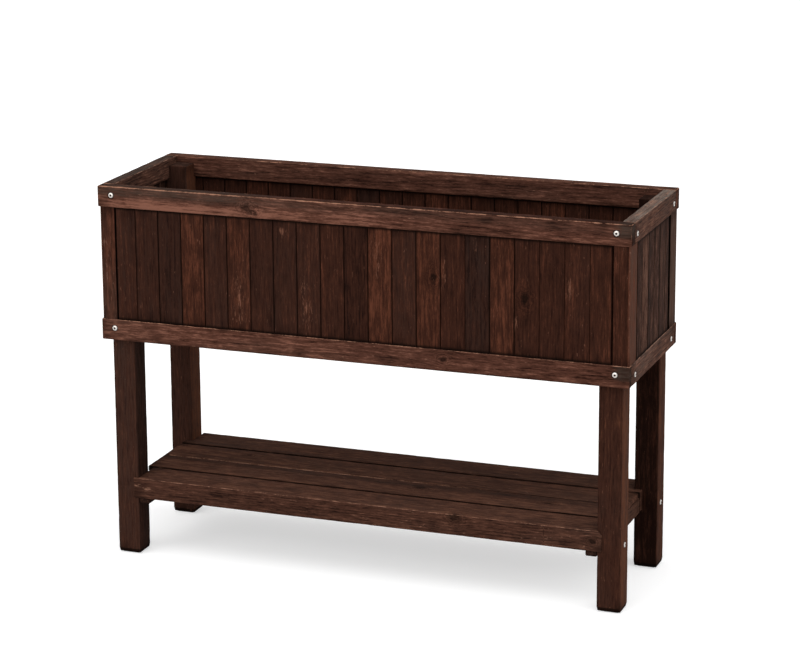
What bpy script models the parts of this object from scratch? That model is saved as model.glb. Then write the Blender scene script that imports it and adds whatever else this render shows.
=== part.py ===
"""Wooden raised bed: a boarded trough on four legs with a slatted shelf below.

Metres, +Z up. X runs along the trough, Y from front to back, and the origin is
on the ground under the middle of the trough.
"""

from math import cos, pi, sin

import bmesh
import bpy
from mathutils import Vector

# Overall sizes, measured over the top rails
LENGTH = 1.180
DEPTH = 0.376
HEIGHT = 0.830

# Space left between neighbouring solids
GAP = 0.0003

# Trough walls: rails, corner posts and matched boards
TROUGH_HEIGHT = 0.340
TOP_RAIL_HEIGHT = 0.046
TOP_RAIL_THICKNESS = 0.028
LOWER_RAIL_HEIGHT = 0.047
LOWER_RAIL_SETBACK = 0.001
PANEL_SETBACK = 0.003
PANEL_THICKNESS = 0.0147
PANEL_TUCK = 0.008
BOARD_WIDTH = 0.053
JOINT_WIDTH = 0.0035
JOINT_DEPTH = 0.0025
POST_FRONT_WIDTH = 0.0375
POST_SIDE_WIDTH = 0.054
POST_CORNER_RADIUS = 0.005
POST_ARC_STEPS = 4

# Legs
LEG_SIZE = 0.052
LEG_HEAD_DROP = 0.015
FOOT_CHAMFER = 0.004

# Trough floor
FLOOR_THICKNESS = 0.012
FLOOR_SLOT = 0.006
FLOOR_EDGE_CLEARANCE = 0.002
FLOOR_MIDDLE_BOARDS = 3
BEARER_WIDTH = 0.022
BEARER_HEIGHT = 0.030
BEARER_RISE = 0.002

# Shelf
SHELF_HEIGHT = 0.177
SHELF_BOARD_THICKNESS = 0.012
SHELF_SLOT = 0.007
SHELF_CENTRE_SLOT = 0.001
BEAM_HEIGHT = 0.046
FRONT_BEAM_DEPTH = 0.082
FRONT_BEAM_PROUD = 0.004
FRONT_BEAM_LAP = 0.011
REAR_BEAM_DEPTH = 0.086
REAR_BEAM_PROUD = 0.013
REAR_BEAM_LAP = 0.018
BOARD_END_SETBACK = 0.001
SHELF_RAIL_THICKNESS = 0.022
BATTEN_WIDTH = 0.025
BATTEN_THICKNESS = 0.012

# Bolts
BOLT_HEAD_DIAMETER = 0.012
BOLT_HEAD_HEIGHT = 0.0032
BOLT_RIM_HEIGHT = 0.0012
BOLT_SHANK_DIAMETER = 0.005
BOLT_TIP_LENGTH = 0.003
BOLT_SIDES = 16
BOLT_DOME_STEPS = 3
SOCKET_ACROSS_FLATS = 0.004
SOCKET_DEPTH = 0.0018
COUNTERBORE_DIAMETER = 0.0145
COUNTERBORE_DEPTH = 0.0015
BOLT_STAGGER = 0.0035
BOLT_FROM_LEG_EDGE = 0.014
BOLT_TIP_COVER = 0.008
SHELF_BOLT_BITE = 0.031
SHELF_BOLT_RISE = 0.013

# Softened edges
RAIL_ROUND = 0.0025
LEG_ROUND = 0.002
BOARD_ROUND = 0.0015
ROUND_STEPS = 2

# Colours of the stained wood and the plated steel
LEG_COLOUR = (0.045, 0.022, 0.014)
RAIL_COLOUR = (0.085, 0.036, 0.024)
PANEL_COLOUR = (0.060, 0.030, 0.022)
SHELF_COLOUR = (0.070, 0.042, 0.033)
INNER_COLOUR = (0.100, 0.058, 0.040)
STEEL_COLOUR = (0.62, 0.61, 0.58)

# Planes that the pieces share, from the centre outwards
half_length = LENGTH / 2
half_depth = DEPTH / 2
leg_setback = PANEL_SETBACK + PANEL_THICKNESS + GAP
leg_outer_x = half_length - leg_setback
leg_outer_y = half_depth - leg_setback
leg_inner_x = leg_outer_x - LEG_SIZE
leg_inner_y = leg_outer_y - LEG_SIZE
panel_outer_x = half_length - PANEL_SETBACK
panel_outer_y = half_depth - PANEL_SETBACK
panel_inner_x = panel_outer_x - PANEL_THICKNESS
panel_inner_y = panel_outer_y - PANEL_THICKNESS
lower_outer_x = half_length - LOWER_RAIL_SETBACK
lower_outer_y = half_depth - LOWER_RAIL_SETBACK
top_inner_x = half_length - TOP_RAIL_THICKNESS
top_inner_y = half_depth - TOP_RAIL_THICKNESS

# Levels, from the ground up
trough_base = HEIGHT - TROUGH_HEIGHT
lower_rail_top = trough_base + LOWER_RAIL_HEIGHT
top_rail_base = HEIGHT - TOP_RAIL_HEIGHT
panel_base = lower_rail_top - PANEL_TUCK + GAP
panel_top = top_rail_base + PANEL_TUCK - GAP
beam_base = SHELF_HEIGHT - BEAM_HEIGHT

SIDES = {"left": -1, "right": 1}
ENDS = {"front": -1, "back": 1}


def clear_scene():
    for item in list(bpy.data.objects):
        bpy.data.objects.remove(item, do_unlink=True)


def new_collection(name):
    group = bpy.data.collections.new(name)
    bpy.context.scene.collection.children.link(group)
    return group


def material(name, colour, roughness, metallic=0.0):
    made = bpy.data.materials.new(name)
    made.use_nodes = True
    shader = made.node_tree.nodes["Principled BSDF"]
    shader.inputs["Base Color"].default_value = (*colour, 1.0)
    shader.inputs["Roughness"].default_value = roughness
    shader.inputs["Metallic"].default_value = metallic
    return made


def span(centre, size):
    return centre - size / 2, centre + size / 2


def outward(side, inner, outer):
    """Turn a distance range from the centre into a signed range on one side."""
    return (inner, outer) if side > 0 else (-outer, -inner)


def add_box(name, xs, ys, zs, look, round_width=0.0, group=None):
    """A sawn timber that fills three coordinate ranges, with softened edges."""
    corners = Vector((xs[0], ys[0], zs[0])), Vector((xs[1], ys[1], zs[1]))
    size = corners[1] - corners[0]
    shape = bmesh.new()
    bmesh.ops.create_cube(shape, size=1.0)
    bmesh.ops.scale(shape, vec=size, verts=shape.verts)
    mesh = bpy.data.meshes.new(name)
    shape.to_mesh(mesh)
    shape.free()
    timber = bpy.data.objects.new(name, mesh)
    timber.location = (corners[0] + corners[1]) / 2
    (group or parts).objects.link(timber)
    if look:
        mesh.materials.append(look)
        timber.parent = bed
    if round_width:
        soften(timber, round_width)
    return timber


def soften(timber, width):
    bevel = timber.modifiers.new("softened_edges", "BEVEL")
    bevel.width = width
    bevel.segments = ROUND_STEPS
    bevel.limit_method = "ANGLE"


def cut(timber, cutter):
    """Cut a timber with one cutter, or with every cutter in a collection."""
    saw = timber.modifiers.new("cut_" + cutter.name, "BOOLEAN")
    saw.operation = "DIFFERENCE"
    saw.solver = "EXACT"
    if isinstance(cutter, bpy.types.Collection):
        saw.operand_type = "COLLECTION"
        saw.collection = cutter
    else:
        saw.object = cutter


def hide_cutter(cutter):
    cutter.hide_render = True
    cutter.display_type = "WIRE"
    return cutter


def box_cutter(name, xs, ys, zs):
    return hide_cutter(add_box(name, xs, ys, zs, None, group=cutters))


def both_ways(reach):
    return -reach, reach


def bake(source):
    """The evaluated mesh of an object, welded; the object itself is removed."""
    bpy.context.view_layer.update()
    evaluated = source.evaluated_get(bpy.context.evaluated_depsgraph_get())
    mesh = bpy.data.meshes.new_from_object(evaluated)
    mesh.name = source.name
    shape = bmesh.new()
    shape.from_mesh(mesh)
    bmesh.ops.remove_doubles(shape, verts=shape.verts, dist=0.00001)
    bmesh.ops.recalc_face_normals(shape, faces=shape.faces)
    shape.to_mesh(mesh)
    shape.free()
    bpy.data.objects.remove(source, do_unlink=True)
    return mesh


def add_outline(name, points, zs, look):
    """A flat outline in plan, raised to fill a height range."""
    drawn = bpy.data.curves.new(name, "CURVE")
    drawn.dimensions = "2D"
    drawn.fill_mode = "BOTH"
    drawn.extrude = (zs[1] - zs[0]) / 2
    spline = drawn.splines.new("POLY")
    spline.points.add(len(points) - 1)
    for slot, (x, y) in zip(spline.points, points):
        slot.co = (x, y, 0.0, 1.0)
    spline.use_cyclic_u = True
    sketch = bpy.data.objects.new(name + "_outline", drawn)
    parts.objects.link(sketch)
    mesh = bake(sketch)
    mesh.materials.append(look)
    piece = bpy.data.objects.new(name, mesh)
    piece.location = (0.0, 0.0, sum(zs) / 2)
    piece.parent = bed
    parts.objects.link(piece)
    return piece


def ring_cutter(name, inner, outer, zs):
    """A square ring around the trough, open in the middle."""
    ring = box_cutter(name, both_ways(outer[0]), both_ways(outer[1]), zs)
    past = zs[0] - GAP, zs[1] + GAP
    core = box_cutter(name + "_core", both_ways(inner[0]), both_ways(inner[1]), past)
    cut(ring, core)
    return ring


def add_rails():
    """Two frames of four rails; the long rails run over the ends of the short ones."""
    channel = ring_cutter(
        "panel_channel",
        (panel_inner_x - GAP, panel_inner_y - GAP),
        (panel_outer_x + GAP, panel_outer_y + GAP),
        (top_rail_base - PANEL_TUCK, top_rail_base + PANEL_TUCK),
    )
    rebate = box_cutter(
        "panel_rebate",
        both_ways(panel_outer_x + GAP),
        both_ways(panel_outer_y + GAP),
        (lower_rail_top - PANEL_TUCK, lower_rail_top + PANEL_TUCK),
    )
    top_zs = top_rail_base, HEIGHT
    lower_zs = trough_base, lower_rail_top
    lower_inner_x = leg_outer_x + GAP
    lower_inner_y = leg_outer_y + GAP
    for place, side in ENDS.items():
        ys = outward(side, top_inner_y, half_depth)
        rail = add_box("top_rail_" + place, both_ways(half_length), ys, top_zs, rail_wood, RAIL_ROUND)
        cut(rail, channel)
        cut(rail, bolt_holes)
        ys = outward(side, lower_inner_y, lower_outer_y)
        rail = add_box("lower_rail_" + place, both_ways(lower_outer_x), ys, lower_zs, rail_wood, RAIL_ROUND)
        cut(rail, rebate)
        cut(rail, bolt_holes)
    for place, side in SIDES.items():
        xs = outward(side, top_inner_x, half_length)
        rail = add_box("top_rail_" + place, xs, both_ways(top_inner_y - GAP), top_zs, rail_wood, RAIL_ROUND)
        cut(rail, channel)
        cut(rail, bolt_holes)
        xs = outward(side, lower_inner_x, lower_outer_x)
        ys = both_ways(lower_inner_y - GAP)
        rail = add_box("lower_rail_" + place, xs, ys, lower_zs, rail_wood, RAIL_ROUND)
        cut(rail, rebate)
        cut(rail, bolt_holes)


def add_posts():
    """Corner posts of L section that wrap the legs, rounded on the outer corner."""
    for end_name, end in ENDS.items():
        for side_name, side in SIDES.items():
            centre_x = panel_outer_x - POST_CORNER_RADIUS
            centre_y = panel_outer_y - POST_CORNER_RADIUS
            outline = [
                (panel_outer_x - POST_FRONT_WIDTH, panel_inner_y),
                (panel_inner_x, panel_inner_y),
                (panel_inner_x, panel_outer_y - POST_SIDE_WIDTH),
                (panel_outer_x, panel_outer_y - POST_SIDE_WIDTH),
            ]
            for step in range(POST_ARC_STEPS + 1):
                turn = pi / 2 * step / POST_ARC_STEPS
                outline.append((
                    centre_x + POST_CORNER_RADIUS * cos(turn),
                    centre_y + POST_CORNER_RADIUS * sin(turn),
                ))
            outline.append((panel_outer_x - POST_FRONT_WIDTH, panel_outer_y))
            placed = [(side * x, end * y) for x, y in outline]
            add_outline("corner_post_" + end_name + "_" + side_name, placed, (panel_base, panel_top), post_wood)


def panel_outline(half_width):
    """A wall of matched boards seen from above: a V groove marks each joint."""
    joints = []
    joint = BOARD_WIDTH / 2
    while joint + JOINT_WIDTH < half_width:
        joints = [-joint, *joints, joint]
        joint += BOARD_WIDTH
    outline = [(-half_width, -PANEL_THICKNESS / 2)]
    for joint in joints:
        outline.append((joint - JOINT_WIDTH / 2, -PANEL_THICKNESS / 2))
        outline.append((joint, JOINT_DEPTH - PANEL_THICKNESS / 2))
        outline.append((joint + JOINT_WIDTH / 2, -PANEL_THICKNESS / 2))
    outline.append((half_width, -PANEL_THICKNESS / 2))
    outline.append((half_width, PANEL_THICKNESS / 2))
    outline.append((-half_width, PANEL_THICKNESS / 2))
    return outline


def add_panels():
    """Four walls of matched boards, tucked into both frames."""
    zs = panel_base, panel_top
    along = panel_outline(panel_outer_x - POST_FRONT_WIDTH - GAP)
    across = panel_outline(panel_outer_y - POST_SIDE_WIDTH - GAP)
    middle_x = panel_outer_x - PANEL_THICKNESS / 2
    middle_y = panel_outer_y - PANEL_THICKNESS / 2
    for place, side in ENDS.items():
        placed = [(x, side * (middle_y - y)) for x, y in along]
        add_outline("panel_" + place, placed, zs, panel_wood)
    for place, side in SIDES.items():
        placed = [(side * (middle_x - y), x) for x, y in across]
        add_outline("panel_" + place, placed, zs, panel_wood)


def weigh_leg_edges(leg):
    """The foot's edges take the full chamfer, the long arrises a smaller one."""
    mesh = leg.data
    weight = mesh.attributes.new("bevel_weight_edge", "FLOAT", "EDGE")
    for edge in mesh.edges:
        ends = [mesh.vertices[index].co for index in edge.vertices]
        at_foot = all(end.z < 0.0 for end in ends)
        upright = abs(ends[0].z - ends[1].z) > LEG_SIZE
        if at_foot:
            weight.data[edge.index].value = 1.0
        elif upright:
            weight.data[edge.index].value = LEG_ROUND / FOOT_CHAMFER
    bevel = leg.modifiers.new("foot_and_arrises", "BEVEL")
    bevel.width = FOOT_CHAMFER
    bevel.segments = ROUND_STEPS
    bevel.limit_method = "WEIGHT"


def add_legs():
    """Four square legs, housed at the head so that the top rails sit on a shoulder."""
    housing = ring_cutter(
        "leg_head_housing",
        (top_inner_x - GAP, top_inner_y - GAP),
        (half_length + GAP, half_depth + GAP),
        (top_rail_base - GAP, HEIGHT + GAP),
    )
    for end_name, end in ENDS.items():
        for side_name, side in SIDES.items():
            leg = add_box(
                "leg_" + end_name + "_" + side_name,
                outward(side, leg_inner_x, leg_outer_x),
                outward(end, leg_inner_y, leg_outer_y),
                (0.0, HEIGHT - LEG_HEAD_DROP),
                leg_wood,
            )
            weigh_leg_edges(leg)
            cut(leg, housing)
            cut(leg, bolt_holes)


def add_floor():
    """Boards with drainage slots between them, laid on three cross bearers."""
    bearer_zs = trough_base + BEARER_RISE, trough_base + BEARER_RISE + BEARER_HEIGHT
    board_zs = bearer_zs[1] + GAP, bearer_zs[1] + GAP + FLOOR_THICKNESS
    outer_bearer = leg_inner_x - GAP - BEARER_WIDTH / 2
    for place, x in (("left", -outer_bearer), ("centre", 0.0), ("right", outer_bearer)):
        add_box("floor_bearer_" + place, span(x, BEARER_WIDTH), both_ways(leg_outer_y), bearer_zs, inner_wood)
    edge_board = leg_inner_y + FLOOR_SLOT / 2, leg_outer_y - FLOOR_EDGE_CLEARANCE
    for place, side in ENDS.items():
        xs = both_ways(leg_inner_x - FLOOR_EDGE_CLEARANCE)
        ys = outward(side, *edge_board)
        add_box("floor_board_" + place, xs, ys, board_zs, inner_wood, BOARD_ROUND)
    free_width = 2 * leg_inner_y - FLOOR_SLOT * FLOOR_MIDDLE_BOARDS
    width = free_width / FLOOR_MIDDLE_BOARDS
    for index in range(FLOOR_MIDDLE_BOARDS):
        y = (index - (FLOOR_MIDDLE_BOARDS - 1) / 2) * (width + FLOOR_SLOT)
        xs = both_ways(leg_outer_x - FLOOR_EDGE_CLEARANCE)
        add_box("floor_board_middle_" + str(index + 1), xs, span(y, width), board_zs, inner_wood, BOARD_ROUND)


def add_shelf():
    """Two thick beams bolted between the legs, with two thinner boards between them."""
    beam_zs = beam_base, SHELF_HEIGHT
    front_ys = -leg_outer_y - FRONT_BEAM_PROUD, -leg_outer_y - FRONT_BEAM_PROUD + FRONT_BEAM_DEPTH
    rear_ys = leg_outer_y + REAR_BEAM_PROUD - REAR_BEAM_DEPTH, leg_outer_y + REAR_BEAM_PROUD
    front_xs = both_ways(leg_inner_x + FRONT_BEAM_LAP)
    rear_reach = leg_inner_x + REAR_BEAM_LAP
    front = add_box("shelf_front_beam", front_xs, front_ys, beam_zs, shelf_wood, RAIL_ROUND)
    rear = add_box("shelf_rear_beam", both_ways(rear_reach), rear_ys, beam_zs, shelf_wood, RAIL_ROUND)
    notch_zs = beam_base - BEAM_HEIGHT, SHELF_HEIGHT + BEAM_HEIGHT
    for side_name, side in SIDES.items():
        xs = outward(side, leg_inner_x - GAP, leg_outer_x)
        front_notch = box_cutter("front_notch_" + side_name, xs, (-leg_outer_y - GAP, 0.0), notch_zs)
        cut(front, front_notch)
        rear_notch = box_cutter("rear_notch_" + side_name, xs, (leg_inner_y - GAP, half_depth), notch_zs)
        cut(rear, rear_notch)
    cut(front, bolt_holes)
    cut(rear, bolt_holes)

    bay = front_ys[1] + GAP, rear_ys[0] - GAP
    rail_zs = beam_base, SHELF_HEIGHT - SHELF_BOARD_THICKNESS - GAP
    side_rail = rear_reach - SHELF_RAIL_THICKNESS / 2
    for name, x in (
        ("shelf_side_rail_left", -side_rail),
        ("shelf_centre_bearer", 0.0),
        ("shelf_side_rail_right", side_rail),
    ):
        add_box(name, span(x, SHELF_RAIL_THICKNESS), bay, rail_zs, shelf_wood)

    board_xs = both_ways(rear_reach - BOARD_END_SETBACK)
    board_zs = SHELF_HEIGHT - SHELF_BOARD_THICKNESS, SHELF_HEIGHT
    first_y = front_ys[1] + SHELF_SLOT
    last_y = rear_ys[0] - SHELF_SLOT
    width = (last_y - first_y - SHELF_CENTRE_SLOT) / 2
    add_box("shelf_board_front", board_xs, (first_y, first_y + width), board_zs, shelf_wood, BOARD_ROUND)
    add_box("shelf_board_rear", board_xs, (last_y - width, last_y), board_zs, shelf_wood, BOARD_ROUND)

    batten_zs = beam_base - GAP - BATTEN_THICKNESS, beam_base - GAP
    for side_name, side in SIDES.items():
        xs = outward(side, leg_inner_x - GAP - BATTEN_WIDTH, leg_inner_x - GAP)
        name = "shelf_batten_" + side_name
        add_box(name, xs, both_ways(leg_outer_y), batten_zs, shelf_wood, BOARD_ROUND)


def turned_mesh(name, profile):
    """A profile of (radius, height) points turned about Z, top to bottom."""
    mesh = bpy.data.meshes.new(name)
    edges = [(index, index + 1) for index in range(len(profile) - 1)]
    mesh.from_pydata([(radius, 0.0, height) for radius, height in profile], edges, [])
    source = bpy.data.objects.new(name, mesh)
    parts.objects.link(source)
    lathe = source.modifiers.new("lathe", "SCREW")
    lathe.steps = BOLT_SIDES
    lathe.render_steps = BOLT_SIDES
    lathe.use_merge_vertices = True
    lathe.merge_threshold = 0.00001
    return bake(source)


def bolt_mesh(name, length):
    """A domed bolt with a hexagon socket: its head rests at Z = 0, its shank hangs below."""
    head = BOLT_HEAD_DIAMETER / 2
    shank = BOLT_SHANK_DIAMETER / 2
    dome = BOLT_HEAD_HEIGHT - BOLT_RIM_HEIGHT
    profile = [(0.0, BOLT_HEAD_HEIGHT)]
    for step in range(1, BOLT_DOME_STEPS + 1):
        turn = pi / 2 * step / BOLT_DOME_STEPS
        profile.append((head * sin(turn), BOLT_RIM_HEIGHT + dome * cos(turn)))
    profile += [
        (head, 0.0),
        (shank, 0.0),
        (shank, BOLT_TIP_LENGTH - length),
        (shank / 2, -length),
        (0.0, -length),
    ]
    blank = bpy.data.objects.new(name + "_blank", turned_mesh(name + "_blank", profile))
    parts.objects.link(blank)
    shape = bmesh.new()
    radius = SOCKET_ACROSS_FLATS / 2 / cos(pi / 6)
    bmesh.ops.create_cone(
        shape, cap_ends=True, segments=6, radius1=radius, radius2=radius, depth=2 * SOCKET_DEPTH
    )
    socket_mesh = bpy.data.meshes.new("socket_cutter")
    shape.to_mesh(socket_mesh)
    shape.free()
    socket = hide_cutter(bpy.data.objects.new("socket_cutter", socket_mesh))
    socket.location.z = BOLT_HEAD_HEIGHT
    cutters.objects.link(socket)
    cut(blank, socket)
    mesh = bake(blank)
    bpy.data.objects.remove(socket, do_unlink=True)
    mesh.materials.append(steel)
    mesh.name = name
    mesh.shade_smooth()
    mesh.set_sharp_from_angle(angle=pi / 6)
    return mesh


def hole_mesh(name, length):
    """The bolt's clearance hole, with a counterbore that its head sinks into."""
    bore = BOLT_SHANK_DIAMETER / 2 + GAP
    wide = COUNTERBORE_DIAMETER / 2
    return turned_mesh(name, [
        (0.0, BOLT_HEAD_HEIGHT),
        (wide, BOLT_HEAD_HEIGHT),
        (wide, -GAP),
        (bore, -GAP),
        (bore, -length - GAP),
        (0.0, -length - GAP),
    ])


def place_bolt(name, place, direction, bolt, hole):
    """Set a bolt with its head facing along a direction, and the hole that it needs."""
    turn = Vector((0.0, 0.0, 1.0)).rotation_difference(Vector(direction)).to_euler()
    seat = Vector(place) - Vector(direction) * COUNTERBORE_DEPTH
    made = bpy.data.objects.new(name, bolt)
    made.parent = bed
    parts.objects.link(made)
    drilled = hide_cutter(bpy.data.objects.new("hole_for_" + name, hole))
    bolt_holes.objects.link(drilled)
    for item in (made, drilled):
        item.location = seat
        item.rotation_euler = turn


def add_bolts():
    """Each rail end has a bolt into its leg, and each shelf beam one through each leg."""
    through = leg_setback + LEG_SIZE - BOLT_TIP_COVER - COUNTERBORE_DEPTH
    levels = {
        "top": (half_length, half_depth, top_rail_base + TOP_RAIL_HEIGHT / 2, through),
        "lower": (lower_outer_x, lower_outer_y, trough_base + LOWER_RAIL_HEIGHT / 2, through - LOWER_RAIL_SETBACK),
    }
    front_x = leg_outer_x - BOLT_FROM_LEG_EDGE
    leg_middle_y = (leg_inner_y + leg_outer_y) / 2
    for level, (face_x, face_y, z, length) in levels.items():
        bolt = bolt_mesh(level + "_rail_bolt", length)
        hole = hole_mesh(level + "_rail_hole", length)
        for end_name, end in ENDS.items():
            for side_name, side in SIDES.items():
                place = (side * front_x, end * face_y, z + BOLT_STAGGER)
                name = "bolt_" + level + "_" + end_name + "_rail_" + side_name
                place_bolt(name, place, (0.0, end, 0.0), bolt, hole)
                place = (side * face_x, end * leg_middle_y, z - BOLT_STAGGER)
                name = "bolt_" + level + "_" + side_name + "_rail_" + end_name
                place_bolt(name, place, (side, 0.0, 0.0), bolt, hole)
    length = LEG_SIZE + GAP + SHELF_BOLT_BITE - COUNTERBORE_DEPTH
    bolt = bolt_mesh("shelf_bolt", length)
    hole = hole_mesh("shelf_hole", length)
    for end_name, end in ENDS.items():
        for side_name, side in SIDES.items():
            place = (side * leg_outer_x, end * leg_middle_y, beam_base + SHELF_BOLT_RISE)
            place_bolt("bolt_shelf_" + end_name + "_" + side_name, place, (side, 0.0, 0.0), bolt, hole)


clear_scene()
parts = new_collection("wooden_raised_bed")
cutters = new_collection("cutters")
bolt_holes = new_collection("bolt_holes")
bed = bpy.data.objects.new("raised_bed", None)
parts.objects.link(bed)

leg_wood = material("stained_wood_legs", LEG_COLOUR, 0.62)
rail_wood = material("stained_wood_rails", RAIL_COLOUR, 0.60)
panel_wood = material("stained_wood_boards", PANEL_COLOUR, 0.64)
post_wood = material("stained_wood_corner_posts", PANEL_COLOUR, 0.60)
shelf_wood = material("stained_wood_shelf", SHELF_COLOUR, 0.66)
inner_wood = material("stained_wood_floor", INNER_COLOUR, 0.72)
steel = material("plated_steel", STEEL_COLOUR, 0.32, 1.0)

add_bolts()
add_rails()
add_posts()
add_panels()
add_legs()
add_floor()
add_shelf()
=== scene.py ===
from math import cos, pi, radians, sin, tan

import bmesh
import bpy
import numpy as np
from mathutils import Matrix, Vector


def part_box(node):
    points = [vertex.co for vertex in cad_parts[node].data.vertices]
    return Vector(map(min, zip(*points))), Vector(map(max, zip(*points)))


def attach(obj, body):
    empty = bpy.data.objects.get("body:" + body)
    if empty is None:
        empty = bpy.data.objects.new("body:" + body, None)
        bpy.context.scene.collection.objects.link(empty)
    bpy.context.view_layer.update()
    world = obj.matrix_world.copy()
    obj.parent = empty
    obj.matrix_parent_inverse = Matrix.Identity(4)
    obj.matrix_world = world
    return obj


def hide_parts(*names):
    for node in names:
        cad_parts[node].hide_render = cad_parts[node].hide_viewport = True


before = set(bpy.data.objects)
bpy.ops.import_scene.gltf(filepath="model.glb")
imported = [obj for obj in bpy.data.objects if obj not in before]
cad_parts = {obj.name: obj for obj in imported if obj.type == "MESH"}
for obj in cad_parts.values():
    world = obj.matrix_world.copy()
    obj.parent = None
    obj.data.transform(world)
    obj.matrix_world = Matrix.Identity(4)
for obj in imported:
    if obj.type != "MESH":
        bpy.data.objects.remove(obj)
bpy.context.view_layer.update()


# Legs: four squared lengths of stained softwood. Each runs from the ground up inside a corner of
# the trough, where its head is housed so that the top rails sit on a shoulder. The foot tapers a
# little and stands on a thin dark pad, set in from its edges.

class Figure:
    """A value that varies over the wood. Arithmetic on it adds Math nodes."""

    def __init__(self, tree, socket=None):
        self.tree = tree
        self.socket = socket

    def node(self, kind, inputs, settings=None, output=0):
        made = self.tree.nodes.new(kind)
        for name, setting in (settings or {}).items():
            setattr(made, name, setting)
        for plug, value in inputs.items():
            if isinstance(value, Figure):
                value.into(made, plug)
            else:
                made.inputs[plug].default_value = value
        return Figure(self.tree, made.outputs[output])

    def into(self, node, plug):
        self.tree.links.new(self.socket, node.inputs[plug])

    def math(self, operation, *values, clamp=False):
        settings = {"operation": operation, "use_clamp": clamp}
        return self.node("ShaderNodeMath", dict(enumerate(values)), settings)

    def vector_math(self, operation, *values, output=0):
        return self.node("ShaderNodeVectorMath", dict(enumerate(values)), {"operation": operation}, output)

    def scaled(self, factor):
        return self.node("ShaderNodeVectorMath", {0: self, 3: factor}, {"operation": "SCALE"})

    def named(self, attribute, kind="FLOAT_VECTOR"):
        return self.node("GeometryNodeInputNamedAttribute", {"Name": attribute}, {"data_type": kind})

    def __add__(self, other):
        return self.math("ADD", self, other)

    def __sub__(self, other):
        return self.math("SUBTRACT", self, other)

    def __rsub__(self, other):
        return self.math("SUBTRACT", other, self)

    def __mul__(self, other):
        return self.math("MULTIPLY", self, other)

    def __rtruediv__(self, other):
        return self.math("DIVIDE", other, self)

    __radd__ = __add__
    __rmul__ = __mul__

    def limited(self):
        return self.math("ADD", self, 0.0, clamp=True)

    def between(self, low, high):
        """0 below low, 1 above high and a smooth rise between them."""
        inputs = {"Value": self, "From Min": low, "From Max": high}
        return self.node("ShaderNodeMapRange", inputs, {"interpolation_type": "SMOOTHSTEP"})

    def noise(self, along, across, detail=2.0, roughness=0.5):
        """Noise stretched along the fibre. The two counts are cells in a metre."""
        place = self.vector_math("MULTIPLY", self, (along, across, across))
        inputs = {"Vector": place, "Scale": 1.0, "Detail": detail, "Roughness": roughness}
        return self.node("ShaderNodeTexNoise", inputs)

    def blend(self, low, high):
        """The colour low where this is 0, and high where it is 1."""
        return self.node("ShaderNodeMix", {0: self, 6: low, 7: high}, {"data_type": "RGBA"}, output=2)


def srgb(red, green, blue):
    """A colour given on a 0 to 255 scale, as the shader's linear light."""
    steps = [value / 255 for value in (red, green, blue)]
    linear = [step / 12.92 if step <= 0.04045 else ((step + 0.055) / 1.055) ** 2.4 for step in steps]
    return (*linear, 1.0)


def new_finish(name):
    """A new material, with its shader and a Figure to start its nodes from."""
    finish = bpy.data.materials.new(name)
    finish.use_nodes = True
    return finish, finish.node_tree.nodes["Principled BSDF"], Figure(finish.node_tree)


KNOT_HEART = srgb(18, 11, 8)
JOINT_DIRT_AND_SHADE = srgb(12, 7, 5)


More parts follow.
